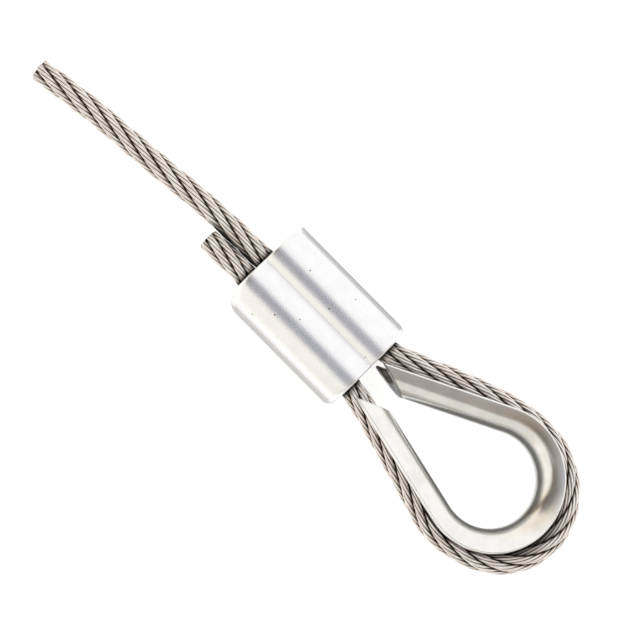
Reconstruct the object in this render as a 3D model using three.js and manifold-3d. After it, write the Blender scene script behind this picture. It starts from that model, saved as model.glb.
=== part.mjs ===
// A wire rope sling end: a 4.8 mm wire rope turned back round a loose sheet-metal thimble and
// closed by a pressed aluminium ferrule. Millimetres, +Z up, lying as on a table.
// The model is drawn in the ferrule's own frame: X runs from the eye to the standing rope, and the
// origin is the ferrule's centre. The last lines move it to the bearing point inside the eye.
// The near side is +Y, where the rope's tail is, and the far side is -Y.

import * as THREE from 'three'
import { mergeVertices } from 'three/addons/utils/BufferGeometryUtils.js'
import Module from 'manifold-3d'

const wasm = await Module()
wasm.setup()

// Wire rope: six strands laid right-handed round a core strand.
const ROPE_R = 2.4
const OUTER_STRANDS = 6
const STRAND_R = 0.73
const LAY = 38
const HELIX_R = 1.6
const STRAND_SIDES = 8
const STRAND_STEP = 3.4
const FIRST_STRAND_ANGLE = -0.06

// Ferrule: two round lobes side by side, pressed round both runs of the rope. Their ends have a
// small round on top, which grows to the stated one toward each lobe's outer side.
const FERRULE_LENGTH = 28.6
const LOBE_R = 6.6
const LOBE_Y = 3.94
const LOBE_SIDES = 36
const ROUNDING = { far: { eyeEnd: 1.6, ropeEnd: 0.6 }, near: { eyeEnd: 1.9, ropeEnd: 3.4 } }
const TOP_ROUNDING = 0.5
const ROUND_STEPS = 4
const BORE_R = ROPE_R + 0.25
const BORE_SIDES = 16
const BORE_STEPS = 12
const BORE_OVERRUN = 3
const TAIL_LENGTH = 10.9

// Thimble: a grooved strip bent to a teardrop, its section an arc with two flared flanges.
const SHEET = 1.2
const GROOVE_OUTER_R = 4.15
const GROOVE_HALF_ANGLE = THREE.MathUtils.degToRad(75)
const FLANGE = 1.7
const ARC_STEPS = 9
const CROWN_R = 9.45
const LEG_HALF_ANGLE = THREE.MathUtils.degToRad(19.7)
const LEG_LENGTH = 27
const THIMBLE_TURN = THREE.MathUtils.degToRad(7.5)
const THIMBLE_CENTRE = new THREE.Vector3(-45.97, -2.06, 0)

// Each leg's end is cut along a slope, from its length at the eye's surface out to its lips.
const LEG_AT_EYE = 21.2
const END_SLOPE = 1.25
const END_CUT_START = -0.2
const END_CUT_REACH = 8
const END_CUT_DEPTH = 3.85

// The strip is swept in an odd number of equal steps, so that the middle one is centred on the
// crown's apex and the bearing face there is flat.
const THIMBLE_STEPS = 61
const CROWN_LENGTH = CROWN_R * (Math.PI + 2 * LEG_HALF_ANGLE)
const THIMBLE_STEP = (2 * LEG_LENGTH + CROWN_LENGTH) / THIMBLE_STEPS

// The eye droops until the crown's lip lies in the plane under the ferrule.
const DROOP = THREE.MathUtils.degToRad(2.77)
const DROOP_PIVOT_X = -FERRULE_LENGTH / 2

// The standing rope bends just past the end of the tail, where its solids are parted.
const FLEX_X = 27.2
const FLEX_HALF_GAP = 0.8

const BISECTIONS = 40
const WELD = 1e-5

// The rope's centreline, from the cut end through the ferrule, round the eye and back to the tail.
const ROUTE = [
  [71.5, 3.7, -4.15], [65.2, 2.8, -3.55], [58.0, 1.95, -2.8], [50.5, 1.4, -2.05],
  [43.0, 0.9, -1.4], [35.6, 0.25, -0.85], [27.2, -0.4, -0.35], [20.5, -0.65, -0.1],
  [14.6, -0.8, 0], [7.5, -1.5, 0], [0, -2.7, 0], [-7.5, -4.0, 0],
  [-14.6, -5.2, 0], [-19.1, -6.9, -0.2], [-25.7, -9.9, -0.55], [-31.5, -12.4, -0.83],
  [-37.0, -14.4, -1.1], [-42.5, -15.9, -1.36], [-48.4, -16.3, -1.65], [-53.4, -15.2, -1.89],
  [-57.6, -12.7, -2.09], [-60.7, -9.2, -2.24], [-62.5, -4.9, -2.33], [-62.7, -0.4, -2.34],
  [-61.4, 4.1, -2.27], [-58.6, 7.9, -2.14], [-54.6, 10.6, -1.95], [-49.8, 12.1, -1.72],
  [-44.8, 12.6, -1.47], [-40.3, 11.7, -1.26], [-36.0, 10.4, -1.05], [-31.0, 9.0, -0.8],
  [-25.9, 7.6, -0.55], [-20.5, 6.1, -0.25], [-14.6, 4.9, 0], [-7.5, 4.6, 0],
  [0, 4.5, 0], [9.0, 4.15, 0], [17.5, 4.03, -0.03], [25.2, 4.25, -0.15]
]
const route = new THREE.CatmullRomCurve3(ROUTE.map(p => new THREE.Vector3(...p)), false, 'centripetal')
route.arcLengthDivisions = 4000
const ROUTE_LENGTH = route.getLength()
const FRAME_STEPS = 500
const routeFrames = route.computeFrenetFrames(FRAME_STEPS, false)

// How far along the rope the standing run, its first half, crosses the plane at x.
function standingLengthAt (x) {
  let low = 0
  let high = 1 / 2
  for (let i = 0; i < BISECTIONS; i++) {
    const middle = (low + high) / 2
    if (route.getPointAt(middle).x > x) low = middle
    else high = middle
  }
  return low * ROUTE_LENGTH
}

// A strand's centreline between two lengths along the rope, on a helix of the given radius.
class StrandCurve extends THREE.Curve {
  constructor (radius, phase, from, to) {
    super()
    Object.assign(this, { radius, phase, from, to })
  }

  getPoint (t, target = new THREE.Vector3()) {
    const along = this.from + (this.to - this.from) * t
    const u = THREE.MathUtils.clamp(along / ROUTE_LENGTH, 0, 1)
    const place = u * FRAME_STEPS
    const i = Math.min(Math.floor(place), FRAME_STEPS - 1)
    const { normals, binormals } = routeFrames
    const normal = normals[i].clone().lerp(normals[i + 1], place - i).normalize()
    const binormal = binormals[i].clone().lerp(binormals[i + 1], place - i).normalize()
    const angle = this.phase + 2 * Math.PI * along / LAY
    route.getPointAt(u, target)
    target.addScaledVector(normal, this.radius * Math.cos(angle))
    return target.addScaledVector(binormal, this.radius * Math.sin(angle))
  }

  // Every strand is sampled at the same lengths along the rope, so neighbours bend together.
  getUtoTmapping (u) {
    return u
  }
}

function disc (radius, sides) {
  const shape = new THREE.Shape()
  for (let i = 0; i < sides; i++) {
    const angle = 2 * Math.PI * (i + 0.5) / sides
    const place = [radius * Math.cos(angle), radius * Math.sin(angle)]
    if (i === 0) shape.moveTo(...place)
    else shape.lineTo(...place)
  }
  shape.closePath()
  return shape
}

function tube (curve, radius, sides, steps) {
  return new THREE.ExtrudeGeometry(disc(radius, sides), { steps, extrudePath: curve })
}

function solid (geometry) {
  const bare = geometry.clone()
  bare.deleteAttribute('normal')
  bare.deleteAttribute('uv')
  const merged = mergeVertices(bare, WELD)
  return new wasm.Manifold(new wasm.Mesh({
    numProp: 3,
    vertProperties: new Float32Array(merged.attributes.position.array),
    triVerts: new Uint32Array(merged.index.array)
  }))
}

function geometryOf (manifold) {
  const mesh = manifold.getMesh()
  const geometry = new THREE.BufferGeometry()
  geometry.setAttribute('position', new THREE.BufferAttribute(new Float32Array(mesh.vertProperties), 3))
  geometry.setIndex(new THREE.BufferAttribute(new Uint32Array(mesh.triVerts), 1))
  return geometry
}

function material (color, roughness) {
  return new THREE.MeshStandardMaterial({ color, roughness, metalness: 1 })
}

// One lobe of the ferrule: a round bar along X, on the far side (-1) or the near side (1).
function lobe (side, { eyeEnd, ropeEnd }) {
  const points = []
  for (let i = 0; i < LOBE_SIDES; i++) {
    const around = 2 * Math.PI * (i + 0.5) / LOBE_SIDES
    const outer = Math.max(Math.cos(around), 0) ** 2
    for (const [end, largest] of [[-1, eyeEnd], [1, ropeEnd]]) {
      const round = TOP_ROUNDING + (largest - TOP_ROUNDING) * outer
      for (let j = 0; j <= ROUND_STEPS; j++) {
        const angle = Math.PI / 2 * j / ROUND_STEPS
        const radial = LOBE_R - round + round * Math.sin(angle)
        points.push([
          end * (FERRULE_LENGTH / 2 - round + round * Math.cos(angle)),
          side * (LOBE_Y + radial * Math.cos(around)),
          radial * Math.sin(around)
        ])
      }
    }
  }
  return wasm.Manifold.hull(points)
}

function ferrule () {
  const reach = FERRULE_LENGTH / 2 + BORE_OVERRUN
  const standingRun = [standingLengthAt(reach), standingLengthAt(-reach)]
  const tailRun = [ROUTE_LENGTH - TAIL_LENGTH - FERRULE_LENGTH - BORE_OVERRUN, ROUTE_LENGTH]
  let body = lobe(-1, ROUNDING.far).add(lobe(1, ROUNDING.near))
  for (const [from, to] of [standingRun, tailRun]) {
    const run = new StrandCurve(0, 0, from, to)
    body = body.subtract(solid(tube(run, BORE_R, BORE_SIDES, BORE_STEPS)))
  }
  const mesh = new THREE.Mesh(geometryOf(body), material('#cfd2d4', 0.35))
  mesh.name = 'ferrule'
  return mesh
}

// The strip's section: x across the groove, y away from the eye, starting at the eye's surface.
function thimbleSection () {
  const inner = GROOVE_OUTER_R - SHEET
  const cosine = Math.cos(GROOVE_HALF_ANGLE)
  const sine = Math.sin(GROOVE_HALF_ANGLE)
  const outline = []
  const flangeEnd = (radius, side) => [
    side * (radius * sine + FLANGE * cosine), GROOVE_OUTER_R - radius * cosine + FLANGE * sine
  ]
  outline.push(flangeEnd(GROOVE_OUTER_R, -1))
  for (let i = 0; i <= ARC_STEPS; i++) {
    const angle = GROOVE_HALF_ANGLE * (2 * i / ARC_STEPS - 1)
    outline.push([GROOVE_OUTER_R * Math.sin(angle), GROOVE_OUTER_R - GROOVE_OUTER_R * Math.cos(angle)])
  }
  outline.push(flangeEnd(GROOVE_OUTER_R, 1), flangeEnd(inner, 1))
  for (let i = ARC_STEPS; i >= 0; i--) {
    const angle = GROOVE_HALF_ANGLE * (2 * i / ARC_STEPS - 1)
    outline.push([inner * Math.sin(angle), GROOVE_OUTER_R - inner * Math.cos(angle)])
  }
  outline.push(flangeEnd(inner, -1))
  return new THREE.Shape(outline.map(([x, y]) => new THREE.Vector2(x, y)))
}

// A place on the leg at the far side (-1) or the near side (1), in the thimble's own plane: forward
// along it from the crown, and outward from the eye's surface.
function onLeg (side, forward, outward) {
  const cosine = Math.cos(LEG_HALF_ANGLE)
  const sine = Math.sin(LEG_HALF_ANGLE)
  const away = CROWN_R + outward
  return [forward * cosine + away * sine, side * (away * cosine - forward * sine)]
}

// The line round the inside of the eye: the far leg, the crown and the near leg. Its origin is the
// crown's centre and its legs point along +X.
class EyeCurve extends THREE.Curve {
  getPoint (t, target = new THREE.Vector3()) {
    const along = t * THIMBLE_STEP * THIMBLE_STEPS - LEG_LENGTH
    if (along < 0) return target.set(...onLeg(-1, -along, 0), 0)
    if (along > CROWN_LENGTH) return target.set(...onLeg(1, along - CROWN_LENGTH, 0), 0)
    const angle = -Math.PI / 2 + LEG_HALF_ANGLE - along / CROWN_R
    return target.set(CROWN_R * Math.cos(angle), CROWN_R * Math.sin(angle), 0)
  }

  getUtoTmapping (u) {
    return u
  }
}

// The block that cuts a leg's end: one of its faces lies along the slope.
function endCutter (side) {
  const corner = (along, into) => {
    const scale = Math.hypot(END_SLOPE, 1)
    const forward = LEG_AT_EYE + (along * END_SLOPE + into) / scale
    return onLeg(side, forward, (along - into * END_SLOPE) / scale)
  }
  const outline = [
    corner(END_CUT_START, 0), corner(END_CUT_REACH, 0),
    corner(END_CUT_REACH, END_CUT_DEPTH), corner(END_CUT_START, END_CUT_DEPTH)
  ]
  const depth = 4 * GROOVE_OUTER_R
  const shape = new THREE.Shape(outline.map(([x, y]) => new THREE.Vector2(x, y)))
  const block = new THREE.ExtrudeGeometry(shape, { depth, bevelEnabled: false })
  return solid(block.translate(0, 0, -depth / 2))
}

function thimble () {
  const strip = new THREE.ExtrudeGeometry(thimbleSection(), {
    steps: THIMBLE_STEPS, extrudePath: new EyeCurve()
  })
  const body = solid(strip).subtract(endCutter(-1)).subtract(endCutter(1))
  const mesh = new THREE.Mesh(geometryOf(body), material('#b9bab6', 0.25))
  mesh.name = 'thimble'
  return mesh
}

// Each strand in two lengths, parted at the flex point: the eye's and the standing rope's.
function strands () {
  const flex = standingLengthAt(FLEX_X)
  const lengths = {
    standing: [0, flex - FLEX_HALF_GAP],
    eye: [flex + FLEX_HALF_GAP, ROUTE_LENGTH]
  }
  const group = new THREE.Group()
  for (let i = 0; i <= OUTER_STRANDS; i++) {
    const isCore = i === 0
    const radius = isCore ? 0 : HELIX_R
    const phase = FIRST_STRAND_ANGLE + 2 * Math.PI * i / OUTER_STRANDS
    for (const [part, [from, to]] of Object.entries(lengths)) {
      const curve = new StrandCurve(radius, phase, from, to)
      const steps = Math.round((to - from) / STRAND_STEP)
      const mesh = new THREE.Mesh(
        tube(curve, STRAND_R, STRAND_SIDES, steps), material('#a8a096', 0.4)
      )
      mesh.name = isCore ? `core_strand_${part}` : `strand_${i}_${part}`
      group.add(mesh)
    }
  }
  return group
}

const eye = new THREE.Group()
eye.position.set(DROOP_PIVOT_X, 0, 0)
eye.rotation.y = -DROOP
const thimbleMesh = thimble()
thimbleMesh.position.copy(THIMBLE_CENTRE).sub(eye.position)
thimbleMesh.rotation.z = THIMBLE_TURN
eye.add(thimbleMesh)

const sling = new THREE.Group()
sling.add(ferrule(), strands(), eye)

// The origin moves to the middle of the flat at the crown's apex, where a pin in the eye presses.
const flatRadius = CROWN_R + GROOVE_OUTER_R * (1 - Math.cos(GROOVE_HALF_ANGLE / ARC_STEPS))
const toFlat = flatRadius * Math.cos(THIMBLE_STEP / CROWN_R / 2)
sling.updateMatrixWorld(true)
const bearing = thimbleMesh.localToWorld(new THREE.Vector3(-toFlat, 0, 0))
sling.position.copy(bearing).negate()

export default sling
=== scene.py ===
"""Looks of the wire rope sling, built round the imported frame. Lengths are in millimetres in the
ferrule's own frame until they become vertices, which are in metres in the row frame."""

import math

import bmesh
import bpy
import numpy as np
from mathutils import Matrix, Vector
from mathutils.kdtree import KDTree


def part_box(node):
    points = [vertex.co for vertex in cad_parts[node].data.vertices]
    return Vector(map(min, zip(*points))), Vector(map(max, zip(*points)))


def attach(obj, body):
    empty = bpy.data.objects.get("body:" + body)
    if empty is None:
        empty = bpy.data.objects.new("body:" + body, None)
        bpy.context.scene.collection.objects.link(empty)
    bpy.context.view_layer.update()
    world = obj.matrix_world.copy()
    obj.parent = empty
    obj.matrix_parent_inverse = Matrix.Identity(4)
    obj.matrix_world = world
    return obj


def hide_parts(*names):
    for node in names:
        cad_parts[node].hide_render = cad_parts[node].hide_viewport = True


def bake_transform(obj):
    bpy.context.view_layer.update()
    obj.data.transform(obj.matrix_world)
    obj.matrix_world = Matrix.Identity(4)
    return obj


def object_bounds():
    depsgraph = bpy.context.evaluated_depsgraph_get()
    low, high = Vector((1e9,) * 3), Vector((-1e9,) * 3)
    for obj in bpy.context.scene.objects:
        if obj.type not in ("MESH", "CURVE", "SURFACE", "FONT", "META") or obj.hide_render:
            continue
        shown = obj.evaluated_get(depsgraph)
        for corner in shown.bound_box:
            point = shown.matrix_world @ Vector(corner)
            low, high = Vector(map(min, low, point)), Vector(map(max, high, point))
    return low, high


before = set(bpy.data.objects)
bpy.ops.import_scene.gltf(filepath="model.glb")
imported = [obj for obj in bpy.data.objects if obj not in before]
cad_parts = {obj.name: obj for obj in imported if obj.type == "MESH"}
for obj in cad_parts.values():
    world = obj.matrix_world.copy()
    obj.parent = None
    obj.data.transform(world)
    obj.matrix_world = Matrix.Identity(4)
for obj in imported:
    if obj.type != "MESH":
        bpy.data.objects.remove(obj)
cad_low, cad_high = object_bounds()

MM = 0.001
FERRULE_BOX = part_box("ferrule")
OFFSET = np.array((FERRULE_BOX[0] + FERRULE_BOX[1]) / 2) / MM

# ---------------------------------------------------------------- camera

CAMERA_TARGET = np.array([-1.19, -0.17, 0.0])
CAMERA_DISTANCE = 388.0
CAMERA_TILT = math.radians(11)
CAMERA_ROLL = math.radians(134.7)
CAMERA_LENS = 113.67


def row(points):
    """Points in the ferrule's frame, in mm, as metres in the row frame."""
    return (np.asarray(points, float) + OFFSET) * MM


def make_camera():
    data = bpy.data.cameras.new("camera")
    data.sensor_width = 36
    data.lens = CAMERA_LENS
    data.clip_start, data.clip_end = 0.01, 20
    camera = bpy.data.objects.new("camera", data)
    bpy.context.scene.collection.objects.link(camera)
    back = Vector((0, math.sin(CAMERA_TILT), math.cos(CAMERA_TILT)))
    side = Vector((1, 0, 0))
    over = back.cross(side)
    right = math.cos(CAMERA_ROLL) * side - math.sin(CAMERA_ROLL) * over
    up = math.sin(CAMERA_ROLL) * side + math.cos(CAMERA_ROLL) * over
    place = Vector(row(CAMERA_TARGET + CAMERA_DISTANCE * np.array(back)))
    camera.matrix_world = Matrix((
        (right.x, up.x, back.x, place.x),
        (right.y, up.y, back.y, place.y),
        (right.z, up.z, back.z, place.z),
        (0, 0, 0, 1),
    ))
    bpy.context.scene.camera = camera


make_camera()

# ---------------------------------------------------------------- mesh helpers


def piece(name, vertices, faces, material, body, slot, sharp=None):
    """A smooth-shaded mesh from points in the ferrule's frame. Edges are sharp past the angle in
    degrees, if there is one, and the piece rides on the body, if one is named."""
    mesh = bpy.data.meshes.new(name)
    mesh.from_pydata(row(vertices).tolist(), [], [list(f) for f in faces])
    mesh.update()
    made = bpy.data.objects.new(name, mesh)
    bpy.context.scene.collection.objects.link(made)
    mesh.materials.append(material)
    mesh.shade_smooth()
    if sharp is not None:
        mesh.set_sharp_from_angle(angle=math.radians(sharp))
    if body:
        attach(made, body)
    return made


def grid_faces(rows, columns, start=0):
    """Quads of a grid whose columns close into a ring."""
    here = np.arange(rows - 1)[:, None] * columns
    there = here + columns
    column = np.arange(columns)[None, :]
    beside = (column + 1) % columns
    quads = np.stack([here + column, here + beside, there + beside, there + column], axis=-1)
    return (quads.reshape(-1, 4) + start).tolist()


# ---------------------------------------------------------------- material helpers


class Nodes:
    """A material's node tree, with short ways to add and join nodes."""

    def __init__(self, name):
        self.material = bpy.data.materials.new(name)
        self.material.use_nodes = True
        self.tree = self.material.node_tree
        self.shader = self.tree.nodes["Principled BSDF"]

    def add(self, kind, **inputs):
        node = self.tree.nodes.new(kind)
        for key, value in inputs.items():
            self.put(node.inputs[key], value)
        return node

    def put(self, socket, value):
        if isinstance(value, bpy.types.NodeSocket):
            self.tree.links.new(value, socket)
        else:
            socket.default_value = value

    def set(self, **inputs):
        for key, value in inputs.items():
            self.put(self.shader.inputs[key.replace("_", " ")], value)

    def place(self, scale=(1, 1, 1)):
        """Object coordinates in millimetres, stretched."""
        coordinates = self.add("ShaderNodeTexCoord")
        mapping = self.add("ShaderNodeMapping")
        mapping.inputs["Scale"].default_value = [s / MM for s in scale]
        self.put(mapping.inputs["Vector"], coordinates.outputs["Object"])
        return mapping.outputs["Vector"]

    def attribute(self, name):
        node = self.add("ShaderNodeAttribute")
        node.attribute_name = name
        return node.outputs["Fac"]

    def noise(self, vector, scale, detail=3.0, roughness=0.55):
        node = self.add("ShaderNodeTexNoise", Vector=vector, Scale=scale, Detail=detail,
                        Roughness=roughness)
        return node.outputs["Fac"]

    def ramp(self, value, stops):
        node = self.add("ShaderNodeValToRGB", Fac=value)
        ramp = node.color_ramp
        while len(ramp.elements) > 1:
            ramp.elements.remove(ramp.elements[-1])
        ramp.elements[0].position, ramp.elements[0].color = stops[0][0], (*stops[0][1], 1)
        for position, color in stops[1:]:
            ramp.elements.new(position).color = (*color, 1)
        return node.outputs["Color"]

    def spread(self, value, low, high):
        """A value from 0 to 1 spread over low to high."""
        node = self.add("ShaderNodeMapRange", Value=value)
        node.inputs["To Min"].default_value = low
        node.inputs["To Max"].default_value = high
        return node.outputs["Result"]

    def mix(self, factor, a, b, blend="MIX"):
        node = self.tree.nodes.new("ShaderNodeMix")
        node.data_type, node.blend_type = "RGBA", blend
        self.put(node.inputs[0], factor)
        self.put(node.inputs[6], a)
        self.put(node.inputs[7], b)
        return node.outputs[2]

    def bump(self, height, strength, distance):
        node = self.add("ShaderNodeBump", Height=height, Strength=strength, Distance=distance * MM)
        return node.outputs["Normal"]


def wire_material():
    n = Nodes("wire_steel")
    place = n.place()
    tone = n.noise(place, 0.45, 2.0)
    fine = n.noise(place, 6.0, 3.0)
    wire = n.ramp(tone, [(0.3, (0.73, 0.66, 0.61)), (0.5, (0.83, 0.77, 0.73)),
                         (0.72, (0.92, 0.87, 0.84))])
    wire = n.mix(0.2, wire, n.ramp(fine, [(0.35, (0.42, 0.36, 0.32)), (0.65, (0.85, 0.82, 0.80))]))
    # Painted shade: near black deep between the strands (crown), darker down each strand's sides (ridge),
    # and near the ferrule's mouths, the rope's other run and the thimble's lips (beside). The wires' cut
    # ends take a flat grey instead.
    crown = n.ramp(n.attribute("crown"), [(0.68, (0.01, 0.009, 0.008)), (0.78, (0.45, 0.40, 0.36)),
                                          (0.88, (1, 1, 1))])
    ridge = n.ramp(n.attribute("ridge"), [(0.66, (0.20, 0.16, 0.145)), (0.88, (1, 1, 1))])
    beside = n.ramp(n.attribute("beside"), [(0.2, (0.03, 0.027, 0.025)), (0.9, (1, 1, 1))])
    painted_shade = n.mix(1.0, n.mix(1.0, crown, ridge, "MULTIPLY"), beside, "MULTIPLY")
    painted_shade = n.mix(n.attribute("cut"), painted_shade, (0.7, 0.7, 0.7, 1))
    n.set(Base_Color=n.mix(1.0, wire, painted_shade, "MULTIPLY"), Metallic=0.7,
          Roughness=n.spread(fine, 0.3, 0.45), Normal=n.bump(fine, 0.15, 0.02))
    return n.material


def aluminium_material():
    n = Nodes("pressed_aluminium")
    place = n.place()
    grain = n.noise(place, 3.5, 4.0, 0.7)
    cloud = n.noise(place, 0.35, 2.0)
    tone = n.ramp(cloud, [(0.35, (0.79, 0.79, 0.80)), (0.65, (0.82, 0.82, 0.82))])
    specks = n.add("ShaderNodeTexVoronoi", Vector=place, Scale=0.3).outputs["Distance"]
    tone = n.mix(n.ramp(specks, [(0.035, (1, 1, 1)), (0.06, (0, 0, 0))]), tone, (0.22, 0.13, 0.08, 1))
    n.set(Base_Color=tone, Metallic=1.0, Roughness=n.spread(grain, 0.2, 0.36),
          Normal=n.bump(grain, 0.45, 0.03))
    return n.material


def stainless_material():
    n = Nodes("stainless_sheet")
    place = n.place((1, 1, 0.2))
    fine = n.noise(place, 4.0, 3.0)
    cloud = n.noise(n.place(), 0.3, 2.0)
    tone = n.ramp(cloud, [(0.35, (0.72, 0.71, 0.69)), (0.65, (0.79, 0.78, 0.76))])
    # The sheared leg ends are painted near black: painted shade.
    tone = n.mix(n.attribute("cut"), tone, (0.16, 0.16, 0.15, 1))
    # Brown darkening in patches round the crown.
    brown_patch = n.ramp(n.attribute("brown_patch"), [(0, (1, 1, 1)), (0.35, (0.93, 0.86, 0.75)),
                                          (1, (0.34, 0.305, 0.275))])
    tone = n.mix(1.0, tone, brown_patch, "MULTIPLY")
    n.set(Base_Color=tone, Metallic=1.0, Roughness=n.spread(fine, 0.16, 0.28),
          Normal=n.bump(fine, 0.12, 0.02))
    return n.material


WIRE = wire_material()
ALUMINIUM = aluminium_material()
STAINLESS = stainless_material()

# ---------------------------------------------------------------- rope

ROUTE = np.array([
    [71.5, 3.7, -4.15], [65.2, 2.8, -3.55], [58.0, 1.95, -2.8], [50.5, 1.4, -2.05],
    [43.0, 0.9, -1.4], [35.6, 0.25, -0.85], [27.2, -0.4, -0.35], [20.5, -0.65, -0.1],
    [14.6, -0.8, 0], [7.5, -1.5, 0], [0, -2.7, 0], [-7.5, -4.0, 0],
    [-14.6, -5.2, 0], [-19.1, -6.9, -0.2], [-25.7, -9.9, -0.55], [-31.5, -12.4, -0.83],
    [-37.0, -14.4, -1.1], [-42.5, -15.9, -1.36], [-48.4, -16.3, -1.65], [-53.4, -15.2, -1.89],
    [-57.6, -12.7, -2.09], [-60.7, -9.2, -2.24], [-62.5, -4.9, -2.33], [-62.7, -0.4, -2.34],
    [-61.4, 4.1, -2.27], [-58.6, 7.9, -2.14], [-54.6, 10.6, -1.95], [-49.8, 12.1, -1.72],
    [-44.8, 12.6, -1.47], [-40.3, 11.7, -1.26], [-36.0, 10.4, -1.05], [-31.0, 9.0, -0.8],
    [-25.9, 7.6, -0.55], [-20.5, 6.1, -0.25], [-14.6, 4.9, 0], [-7.5, 4.6, 0],
    [0, 4.5, 0], [9.0, 4.15, 0], [17.5, 4.03, -0.03], [25.2, 4.25, -0.15],
])
ROPE_LAY = 38.0
HELIX_R = 1.6
FIRST_STRAND_ANGLE = -0.06
OUTER_STRANDS = 6
WIRE_R = 0.262
WIRE_HELIX_R = 0.528
STRAND_LAY = 13.7
# The wires of a strand, ring by ring: how many, their helix's radius and the sides of each tube.
WIRE_RINGS = ((1, 0.0, 6), (6, WIRE_HELIX_R, 10))
STRAND_R = WIRE_HELIX_R + WIRE_R
ROPE_R = HELIX_R + STRAND_R
# The tail's end: its x, how far the cut's rim falls back, and the share and reach of its narrowing.
TAIL_X = 25.2
TAIL_DOME = 0.5
TAIL_PINCH = 0.14
PINCH_REACH = 1.2
# How far past the tail's end the free rope still counts as beside it.
PAST_TAIL = 1
# How far the shade reaches from the ferrule's mouths, the rope's other run and the thimble's lips.
MOUTH_SHADE = 1.6
RUN_SHADE = 1.3
LIP_SHADE = 1.1
# Round the crown the rope stands clear of the lips: the reach of the painted shade in that gap out from
# them, and the turn in degrees from the apex where it is widest and over which it fades.
GAP_SHADE = 2.7
GAP_TURN = 14
GAP_SPREAD = 38
STATION_STEP = 0.6


def centripetal(points, per_span=160):
    """The centripetal Catmull-Rom curve through the points, as a dense polyline."""
    p = np.vstack([2 * points[0] - points[1], points, 2 * points[-1] - points[-2]])
    out = []
    for k in range(1, len(p) - 2):
        p0, p1, p2, p3 = p[k - 1:k + 3]
        d0, d1, d2 = (math.sqrt(np.linalg.norm(b - a)) for a, b in ((p0, p1), (p1, p2), (p2, p3)))
        t1 = ((p1 - p0) / d0 - (p2 - p0) / (d0 + d1) + (p2 - p1) / d1) * d1
        t2 = ((p2 - p1) / d1 - (p3 - p1) / (d1 + d2) + (p3 - p2) / d2) * d1
        t = np.linspace(0, 1, per_span, endpoint=False)[:, None]
        out.append(p1 + t1 * t + (3 * (p2 - p1) - 2 * t1 - t2) * t**2 + (2 * (p1 - p2) + t1 + t2) * t**3)
    out.append(points[-1:])
    return np.vstack(out)


def unit(v):
    return v / np.linalg.norm(v, axis=-1, keepdims=True)


def rope_frame(step):
    """Even stations along the rope, with each one's centre and the two directions across it."""
    dense = centripetal(ROUTE)
    run = np.concatenate([[0], np.cumsum(np.linalg.norm(np.diff(dense, axis=0), axis=1))])
    count = round(run[-1] / step)
    along = np.linspace(0, run[-1], count + 1)
    centre = np.stack([np.interp(along, run, dense[:, i]) for i in range(3)], axis=1)
    tangent = unit(np.gradient(centre, along, axis=0))
    normal = np.zeros_like(centre)
    across = unit(np.cross(tangent[0], (0, 0, 1)))
    normal[0] = np.cross(tangent[0], across)
    for i in range(1, len(centre)):
        kept = normal[i - 1] - tangent[i] * (normal[i - 1] @ tangent[i])
        normal[i] = unit(kept)
    return along, centre, normal, np.cross(tangent, normal)


ALONG, CENTRE, NORMAL, BINORMAL = rope_frame(STATION_STEP)
ROPE_LENGTH = ALONG[-1]


def strand_line(radius, phase):
    """The middle of a strand at every station, with the two directions across it."""
    angle = (phase + 2 * math.pi * ALONG / ROPE_LAY)[:, None]
    pinch = 1 - TAIL_PINCH * np.exp(-((ROPE_LENGTH - ALONG) / PINCH_REACH)**2)[:, None]
    line = CENTRE + radius * pinch * (np.cos(angle) * NORMAL + np.sin(angle) * BINORMAL)
    tangent = unit(np.gradient(line, axis=0))
    normal = unit(NORMAL - tangent * (NORMAL * tangent).sum(1, keepdims=True))
    return line, normal, np.cross(tangent, normal)


def flush(points, rest, end):
    """Points of the last ring slid along their wire onto the plane that the rope is cut in. The
    tail's cut is a little domed."""
    place, other = (0, 1) if end == 0 else (-1, -2)
    plane = CENTRE[place] - CENTRE[other]
    plane /= np.linalg.norm(plane)
    run = unit(points - rest)
    short = (CENTRE[place] - points) @ plane
    if end:
        short -= TAIL_DOME * (np.linalg.norm(points - CENTRE[place], axis=1) / ROPE_R)**4
    return points + run * (short / (run @ plane))[:, None]


def clearance(vertices, along):
    """How clear each vertex is of what lies beside the rope, from 0 to 1, which sets the painted shade on
    the wires: the ends of the ferrule, the lips of the thimble, with the painted shade of the gap off
    them round the crown, and the rope's other run."""
    x = CENTRE[:, 0]
    at_mouth = (x > FERRULE_LENGTH / 2) & (x < TAIL_X + PAST_TAIL)
    clear = np.clip((abs(vertices[:, 0]) - FERRULE_LENGTH / 2) / MOUTH_SHADE, 0, 1)
    # Painted shade of the gap off the lips round the crown.
    place = vertices - THIMBLE_CENTRE
    turn = np.degrees(np.arctan2(place[:, 1], -place[:, 0]) + THIMBLE_TURN)
    out = thimble_section()[:, 1]
    off_lips = np.hypot(place[:, 0], place[:, 1]) - CROWN_R - out.max()
    reach = GAP_SHADE * np.exp(-((turn - GAP_TURN) / GAP_SPREAD)**2)
    clear = np.minimum(clear, np.clip(off_lips / reach, 0, 1))
    lips = set_thimble(thimble_grid()[:, out > out.max() - LIP_ROUND / 2].reshape(-1, 3))
    # Painted shade near the rope's other run and the thimble's lips.
    beside = [(along < ROPE_LENGTH / 2, CENTRE[at_mouth & (ALONG > ROPE_LENGTH / 2)], ROPE_R, RUN_SHADE),
              (along > ROPE_LENGTH / 2, CENTRE[at_mouth & (ALONG < ROPE_LENGTH / 2)], ROPE_R, RUN_SHADE),
              (along > 0, lips, 0, LIP_SHADE)]
    for chosen, others, radius, reach in beside:
        tree = KDTree(len(others))
        for i, other in enumerate(others):
            tree.insert(other, i)
        tree.balance()
        index = np.nonzero(chosen)[0]
        distance = np.array([tree.find(vertices[i])[2] for i in index])
        clear[index] = np.minimum(clear[index], np.clip((distance - radius) / reach, 0, 1))
    return clear


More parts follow.
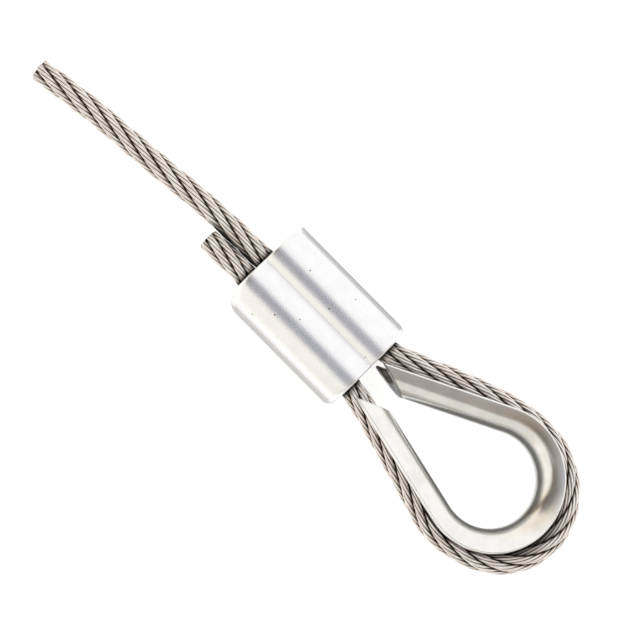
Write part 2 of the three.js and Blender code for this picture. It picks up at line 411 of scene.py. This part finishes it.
def strand(name, nodes, radius, phase):
    """A strand of seven wires, each a closed tube, with the attributes that its material reads."""
    line, normal, binormal = strand_line(radius, phase)
    vertices, faces, stations, ridge = [], [], [], []
    start = 0
    for count, ring_radius, sides in WIRE_RINGS:
        ring = 2 * math.pi * np.arange(sides) / sides
        for w in range(count):
            turn = (2 * math.pi * w / count - 2 * math.pi * ALONG / STRAND_LAY)[:, None]
            wire = line + ring_radius * (np.cos(turn) * normal + np.sin(turn) * binormal)
            c = ring[None, :, None] + turn[:, None, :]
            tube = wire[:, None, :] + WIRE_R * (
                np.cos(c) * normal[:, None, :] + np.sin(c) * binormal[:, None, :])
            ridge.append(np.linalg.norm(tube - line[:, None, :], axis=2).ravel() / STRAND_R)
            tube[0], tube[-1] = flush(tube[0], tube[1], 0), flush(tube[-1], tube[-2], 1)
            vertices.append(tube.reshape(-1, 3))
            stations.append(np.repeat(np.arange(len(ALONG)), sides))
            faces += grid_faces(len(ALONG), sides, start)
            faces.append([start + i for i in reversed(range(sides))])
            start += len(ALONG) * sides
            faces.append([start - sides + i for i in range(sides)])
    vertices, stations = np.vstack(vertices), np.concatenate(stations)
    made = piece(name, vertices, faces, WIRE, None, "galvanised_wire", sharp=70)
    # Where the material paints shade: crown is the depth from the rope's axis, ridge the depth from the
    # strand's middle, beside the clearance of what lies beside the rope.
    depth = np.linalg.norm(vertices - CENTRE[stations], axis=1) / ROPE_R
    beside = clearance(vertices, ALONG[stations])
    for label, values in (("crown", depth), ("ridge", np.concatenate(ridge)), ("beside", beside)):
        attribute = made.data.attributes.new(label, "FLOAT", "POINT")
        attribute.data.foreach_set("value", values.astype(np.float32))
    # Only the end faces of a wire have more than four corners.
    cut = made.data.attributes.new("cut", "FLOAT", "FACE")
    cut.data.foreach_set("value", [float(len(face) > 4) for face in faces])
    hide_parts(*nodes)
    return made


def make_rope():
    strands = []
    for i in range(OUTER_STRANDS + 1):
        core = i == 0
        name = "core_strand" if core else f"strand_{i}"
        phase = FIRST_STRAND_ANGLE + 2 * math.pi * i / OUTER_STRANDS
        made = strand(f"wires_{name}", (f"{name}_eye", f"{name}_standing"), 0 if core else HELIX_R, phase)
        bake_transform(made)
        strands.append(made)
    core, first, *others = strands


# ---------------------------------------------------------------- thimble

SHEET = 1.2
GROOVE_OUTER_R = 4.15
GROOVE_HALF_ANGLE = math.radians(75)
FLANGE = 1.7
CROWN_R = 9.45
LEG_HALF_ANGLE = math.radians(19.7)
CROWN_TURN = math.pi + 2 * LEG_HALF_ANGLE
LEG_LENGTH = 27.0
LEG_AT_EYE = 21.2
END_SLOPE = 1.25
THIMBLE_TURN = math.radians(7.5)
THIMBLE_CENTRE = np.array([-45.97, -2.06, 0.0])
DROOP = math.radians(2.77)
DROOP_PIVOT_X = -14.3
LIP_ROUND = 0.3
GROOVE_POINTS = 33
# The cosine between an outline's edges at a point, under which the point is no corner.
STRAIGHT = -0.9
# How dark the far and the near leg's sheared ends are painted, as shade where they face away from the
# light, and the rows over which the far leg's painted shade fades inside the groove.
END_SHADE = (1.0, 0.4)
END_SHADE_ROWS = 9
# Brown darkening in patches round the crown: each one's middle and spread in degrees from the apex,
# how far out from the eye it lies there, its width and its strength. They drift outward toward the far
# side.
BROWN_PATCHES = ((-76, 38, 4.5, 0.75, 1.0), (-10, 17, 1.15, 0.55, 1.0), (-5, 22, 3.3, 1.1, 0.35))
PATCH_DRIFT = -0.045
PATCH_RIM = 3.45
LEG_STATIONS = 70
CROWN_STATIONS = 110


def rounded(points, radius, steps=4):
    """A closed outline with every sharp corner rounded."""
    out = []
    count = len(points)
    for i in range(count):
        before, here, after = points[i - 1], points[i], points[(i + 1) % count]
        a, b = unit(before - here), unit(after - here)
        if a @ b < STRAIGHT:
            out.append(here)
            continue
        start, end = here + a * radius, here + b * radius
        for t in np.linspace(0, 1, steps + 1):
            out.append((1 - t)**2 * start + 2 * t * (1 - t) * here + t**2 * end)
    return np.array(out)


def thimble_section():
    """x across the groove, y away from the eye, from the eye's surface."""
    inner = GROOVE_OUTER_R - SHEET
    angles = np.linspace(-GROOVE_HALF_ANGLE, GROOVE_HALF_ANGLE, GROOVE_POINTS)

    def arc(radius, angle):
        return np.stack([radius * np.sin(angle), GROOVE_OUTER_R - radius * np.cos(angle)], axis=-1)

    def flange(radius, side):
        edge = arc(radius, side * GROOVE_HALF_ANGLE)
        return edge + FLANGE * np.array([side * math.cos(GROOVE_HALF_ANGLE), math.sin(GROOVE_HALF_ANGLE)])

    outline = [flange(GROOVE_OUTER_R, -1), *arc(GROOVE_OUTER_R, angles), flange(GROOVE_OUTER_R, 1),
               flange(inner, 1), *arc(inner, angles[::-1]), flange(inner, -1)]
    return rounded(np.array(outline), LIP_ROUND)


def on_leg(side, forward, out):
    """Points on a leg, 'forward' along it from the crown and 'out' away from the eye."""
    cosine, sine = math.cos(LEG_HALF_ANGLE), math.sin(LEG_HALF_ANGLE)
    away = CROWN_R + out
    return np.stack([forward * cosine + away * sine, side * (away * cosine - forward * sine)], axis=-1)


def set_thimble(points):
    """Points of the thimble's own frame, turned in its plane and drooped with the eye."""
    cosine, sine = math.cos(THIMBLE_TURN), math.sin(THIMBLE_TURN)
    turned = np.column_stack([points[:, 0] * cosine - points[:, 1] * sine,
                              points[:, 0] * sine + points[:, 1] * cosine, points[:, 2]])
    pivot = np.array([DROOP_PIVOT_X, 0, 0])
    turned = turned + THIMBLE_CENTRE - pivot
    cosine, sine = math.cos(-DROOP), math.sin(-DROOP)
    return pivot + np.column_stack([turned[:, 0] * cosine + turned[:, 2] * sine, turned[:, 1],
                                    -turned[:, 0] * sine + turned[:, 2] * cosine])


def thimble_grid():
    """The thimble's surface in its own frame: rows along the strip, columns round its section."""
    columns = []
    for across, out in thimble_section():
        leg = np.linspace(0, min(LEG_LENGTH, LEG_AT_EYE + END_SLOPE * out), LEG_STATIONS + 1)[1:]
        angle = -math.pi / 2 + LEG_HALF_ANGLE - np.linspace(0, 1, CROWN_STATIONS) * CROWN_TURN
        crown = (CROWN_R + out) * np.stack([np.cos(angle), np.sin(angle)], axis=-1)
        line = np.vstack([on_leg(-1, leg[::-1], out), crown, on_leg(1, leg, out)])
        columns.append(np.column_stack([line, np.full(len(line), across)]))
    return np.stack(columns, axis=1)


def make_thimble():
    grid = thimble_grid()
    rows, count = grid.shape[:2]
    faces = grid_faces(rows, count)
    faces.append(list(range(count))[::-1])
    faces.append([(rows - 1) * count + i for i in range(count)])
    made = piece("thimble_shell", set_thimble(grid.reshape(-1, 3)), faces, STAINLESS, "thimble",
                 "stainless_sheet", sharp=50)
    across, out = thimble_section().T
    inside = np.hypot(across, out - GROOVE_OUTER_R) < GROOVE_OUTER_R - SHEET / 2
    # Painted shade on the sheared leg ends, fading over the first rows inside the far leg's groove.
    cut = np.zeros(grid.shape[:2])
    cut[0], cut[-1] = END_SHADE
    cut[:END_SHADE_ROWS, inside] = np.linspace(1, 0, END_SHADE_ROWS)[:, None]
    turn = np.degrees(np.arctan2(grid[..., 1], -grid[..., 0]))
    brown_patch = np.zeros(grid.shape[:2])
    for middle, spread, distance, width, strength in BROWN_PATCHES:
        line = np.minimum(distance + PATCH_DRIFT * (turn - middle), PATCH_RIM)
        patch = np.exp(-((out - line) / width)**2 - ((turn - middle) / spread)**2)
        brown_patch = np.maximum(brown_patch, strength * patch)
    brown_patch[:, inside] = 0
    for label, values in (("cut", cut), ("brown_patch", brown_patch)):
        attribute = made.data.attributes.new(label, "FLOAT", "POINT")
        attribute.data.foreach_set("value", values.astype(np.float32).ravel())
    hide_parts("thimble")


# ---------------------------------------------------------------- ferrule

FERRULE_LENGTH = 28.6
LOBE_R = 6.6
LOBE_Y = 3.94
# Rounding of the lobes' ends, at the eye and at the free rope: by side, what it grows to on the outer
# side, and what it is on top.
ROUNDING = {-1: (1.6, 0.6), 1: (1.9, 3.4)}
TOP_ROUNDING = 0.5
BORE_R = 2.5
# The bores at the mouths: how much wider they flare, how far in that reaches, and how far past the
# ferrule's ends the cutting tubes run.
FLARE = 0.35
FLARE_REACH = 0.5
BORE_OVERRUN = 2
BORE_SIDES = 48
LOBE_SIDES = 144
LOBE_RINGS = 24
ROUND_STEPS = 10
FERRULE_SHARP = math.radians(30)
MERGE = 0.001


def lobe(side):
    """One lobe of the ferrule: a bar along X whose ends are rounded most toward its outer side."""
    half = FERRULE_LENGTH / 2
    angle = 2 * math.pi * np.arange(LOBE_SIDES) / LOBE_SIDES
    outer = np.maximum(side * np.cos(angle), 0)**2
    eye_round, rope_round = (TOP_ROUNDING + (r - TOP_ROUNDING) * outer for r in ROUNDING[side])
    turns = np.linspace(0, math.pi / 2, ROUND_STEPS + 1)
    profile = [(-half + eye_round * (1 - math.cos(t)), LOBE_R - eye_round * (1 - math.sin(t)))
               for t in turns]
    profile += [(t * (half - rope_round) - (1 - t) * (half - eye_round), np.full(LOBE_SIDES, LOBE_R))
                for t in np.linspace(0, 1, LOBE_RINGS)[1:-1]]
    profile += [(half - rope_round * (1 - math.cos(t)), LOBE_R - rope_round * (1 - math.sin(t)))
                for t in turns[::-1]]
    rings = [np.column_stack([x, side * LOBE_Y + r * np.cos(angle), r * np.sin(angle)])
             for x, r in profile]
    vertices = np.vstack(rings)
    faces = grid_faces(len(rings), LOBE_SIDES)
    faces = [f[::-1] for f in faces]
    faces.append(list(range(LOBE_SIDES)))
    faces.append([(len(rings) - 1) * LOBE_SIDES + i for i in range(LOBE_SIDES)][::-1])
    return vertices, faces


def bore(keep):
    """A tube along one run of the rope inside the ferrule, flared a little at the mouths."""
    index = np.nonzero(keep)[0]
    ring = 2 * math.pi * np.arange(BORE_SIDES) / BORE_SIDES
    past_mouth = abs(CENTRE[index, 0]) - FERRULE_LENGTH / 2
    radius = BORE_R + FLARE * np.exp(-(np.minimum(past_mouth, 0) / FLARE_REACH)**2)
    vertices = (CENTRE[index][:, None, :] + radius[:, None, None] * (
        np.cos(ring)[None, :, None] * NORMAL[index][:, None, :]
        + np.sin(ring)[None, :, None] * BINORMAL[index][:, None, :])).reshape(-1, 3)
    faces = grid_faces(len(index), BORE_SIDES)
    faces.append(list(range(BORE_SIDES))[::-1])
    faces.append([(len(index) - 1) * BORE_SIDES + i for i in range(BORE_SIDES)])
    return vertices, faces


def drop_slivers(mesh):
    """Merge what a cut leaves within a micrometre, where the lobes' flat ends lie in one plane."""
    work = bmesh.new()
    work.from_mesh(mesh)
    bmesh.ops.remove_doubles(work, verts=work.verts, dist=MERGE * MM)
    bmesh.ops.dissolve_degenerate(work, edges=work.edges, dist=MERGE * MM)
    work.to_mesh(mesh)
    work.free()


def make_ferrule():
    """The near lobe joined with the far one, with the rope's two runs bored out of them."""
    near = piece("ferrule_body", *lobe(1), ALUMINIUM, None, "pressed_aluminium")
    in_ferrule = abs(CENTRE[:, 0]) < FERRULE_LENGTH / 2 + BORE_OVERRUN
    first_half = ALONG < ROPE_LENGTH / 2
    tools = [("UNION", lobe(-1)), ("DIFFERENCE", bore(in_ferrule & first_half)),
             ("DIFFERENCE", bore(in_ferrule & ~first_half))]
    cutters = []
    for operation, shape in tools:
        cutter = piece("tool", *shape, ALUMINIUM, None, "pressed_aluminium")
        modifier = near.modifiers.new("cut", "BOOLEAN")
        modifier.operation, modifier.object, modifier.solver = operation, cutter, "EXACT"
        cutters.append(cutter)
    bpy.context.view_layer.update()
    evaluated = near.evaluated_get(bpy.context.evaluated_depsgraph_get())
    final = bpy.data.meshes.new_from_object(evaluated)
    near.modifiers.clear()
    drop_slivers(final)
    near.data = final
    for cutter in cutters:
        bpy.data.objects.remove(cutter)
    final.shade_smooth()
    final.set_sharp_from_angle(angle=FERRULE_SHARP)
    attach(near, "terminal")
    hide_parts("ferrule")


# ---------------------------------------------------------------- stage and light

# Cards in the eye, painted reflections: a dark one for the shade inside the eye, seen on the thimble's
# belly, and a light one seen on its inner rim. Each: name, distance in from the thimble's inner face,
# length of the legs, height, colour.
EYE_CARDS = (("eye_card", 1.8, 19.5, 3.0, (0.18, 0.178, 0.17)),
             ("rim_card", -2.0, 24.0, 0.1, (0.78, 0.80, 0.79)))
CARD_CROWN_POINTS = 24
# Cards beside the ferrule, painted reflections of the floor's shade at its foot: their ends in x, and
# each one's name, reach in y and colour.
FOOT_CARD_ENDS = (-17, 15)
FOOT_CARDS = (("far_foot_card", (-45, 0), (0.58, 0.59, 0.60)),
              ("near_foot_card", (0, 24), (0.72, 0.71, 0.68)))
# Dark cards over the object, about a metre from it, side by side, that paint the dark bands reflected
# in the metal: their edges in x in metres, their colours, and from which tilt to which they reach, in
# degrees from straight up toward +y.
DARK_CARD_EDGES = (-2.0, -0.13, 0.07, 2.0)
DARK_CARD_COLORS = ((0.42, 0.39, 0.36), (0.52, 0.55, 0.65), (0.20, 0.19, 0.18))
DARK_CARD_REACH = (-2, 33)
# In metres: half the floor's width, and how far the floor and the foot cards lie under the lowest
# point of the CAD model.
FLOOR_REACH = 3.0
FLOOR_DROP = 0.00005
FOOT_CARD_DROP = 0.00002
FLOOR_GLOW = 0.72
WORLD_STRENGTH = 1.2
# The world is white, tinted toward two sides: direction, where along it the tint starts and where it
# is full, colour.
TINTS = (((0.9, 0.45, 0), 0.12, 0.32, (1.0, 0.965, 0.895)),
         ((-0.9, 0.43, 0), 0.38, 0.52, (0.78, 0.765, 0.72)))


def make_stage():
    corners = ((-1, -1), (1, -1), (1, 1), (-1, 1))
    mesh = bpy.data.meshes.new("floor")
    mesh.from_pydata([(x * FLOOR_REACH, y * FLOOR_REACH, cad_low.z - FLOOR_DROP) for x, y in corners],
                     [], [[0, 1, 2, 3]])
    floor = bpy.data.objects.new("floor", mesh)
    bpy.context.scene.collection.objects.link(floor)
    n = Nodes("floor")
    n.set(Base_Color=(0.5, 0.5, 0.5, 1), Roughness=0.9, Specular_IOR_Level=0.0,
          Emission_Color=(1, 1, 1, 1), Emission_Strength=FLOOR_GLOW)
    mesh.materials.append(n.material)


def add_card(name, corners, color):
    """A card that shows only in reflections."""
    mesh = bpy.data.meshes.new(name)
    mesh.from_pydata([tuple(c) for c in corners], [], [list(range(len(corners)))])
    card = bpy.data.objects.new(name, mesh)
    bpy.context.scene.collection.objects.link(card)
    n = Nodes(name)
    n.set(Base_Color=(0, 0, 0, 1), Specular_IOR_Level=0.0,
          Emission_Color=(*color, 1), Emission_Strength=1.0)
    mesh.materials.append(n.material)
    card.visible_camera = card.visible_diffuse = card.visible_shadow = False
    card.visible_transmission = False


def make_cards():
    middle = np.array(row((0, 0, 0)))
    near, far = (np.array([0, math.sin(a), math.cos(a)]) for a in map(math.radians, DARK_CARD_REACH))
    for i, color in enumerate(DARK_CARD_COLORS):
        left, right = (np.array([x, 0, 0]) for x in DARK_CARD_EDGES[i:i + 2])
        corners = [middle + near + left, middle + near + right, middle + far + right, middle + far + left]
        add_card(f"dark_card_{i}", corners, color)

    for name, inset, leg, height, color in EYE_CARDS:
        angle = -math.pi / 2 + LEG_HALF_ANGLE - np.linspace(0, 1, CARD_CROWN_POINTS) * CROWN_TURN
        crown = (CROWN_R - inset) * np.stack([np.cos(angle), np.sin(angle)], axis=-1)
        outline = np.vstack([on_leg(-1, leg, -inset), crown, on_leg(1, leg, -inset)])
        outline = row(set_thimble(np.column_stack([outline, np.zeros(len(outline))])))
        add_card(name, [(x, y, cad_low.z + height * MM) for x, y, _ in outline], color)

    for name, y_range, color in FOOT_CARDS:
        (x0, y0, _), (x1, y1, _) = (row((x, y, 0)) for x, y in zip(FOOT_CARD_ENDS, y_range))
        z = cad_low.z - FOOT_CARD_DROP
        add_card(name, [(x0, y0, z), (x1, y0, z), (x1, y1, z), (x0, y1, z)], color)


def make_light():
    world = bpy.data.worlds.new("world")
    world.use_nodes = True
    tree = world.node_tree
    background = tree.nodes["Background"]
    background.inputs["Strength"].default_value = WORLD_STRENGTH
    place = tree.nodes.new("ShaderNodeTexCoord")

    def tinted(direction, start, end, color):
        """White, turning to a colour toward one direction."""
        toward = tree.nodes.new("ShaderNodeVectorMath")
        toward.operation = "DOT_PRODUCT"
        toward.inputs[1].default_value = direction
        ramp = tree.nodes.new("ShaderNodeValToRGB")
        ramp.color_ramp.elements[0].position, ramp.color_ramp.elements[0].color = start, (1, 1, 1, 1)
        ramp.color_ramp.elements[1].position, ramp.color_ramp.elements[1].color = end, (*color, 1)
        tree.links.new(place.outputs["Generated"], toward.inputs[0])
        tree.links.new(toward.outputs["Value"], ramp.inputs["Fac"])
        return ramp.outputs["Color"]

    mix = tree.nodes.new("ShaderNodeMix")
    mix.data_type, mix.blend_type = "RGBA", "MULTIPLY"
    mix.inputs[0].default_value = 1.0
    for socket, tint in zip((6, 7), TINTS):
        tree.links.new(tinted(*tint), mix.inputs[socket])
    tree.links.new(mix.outputs[2], background.inputs["Color"])
    bpy.context.scene.world = world
    bpy.context.scene.view_settings.view_transform = "Standard"


make_rope()
make_thimble()
make_ferrule()
make_stage()
make_cards()
make_light()
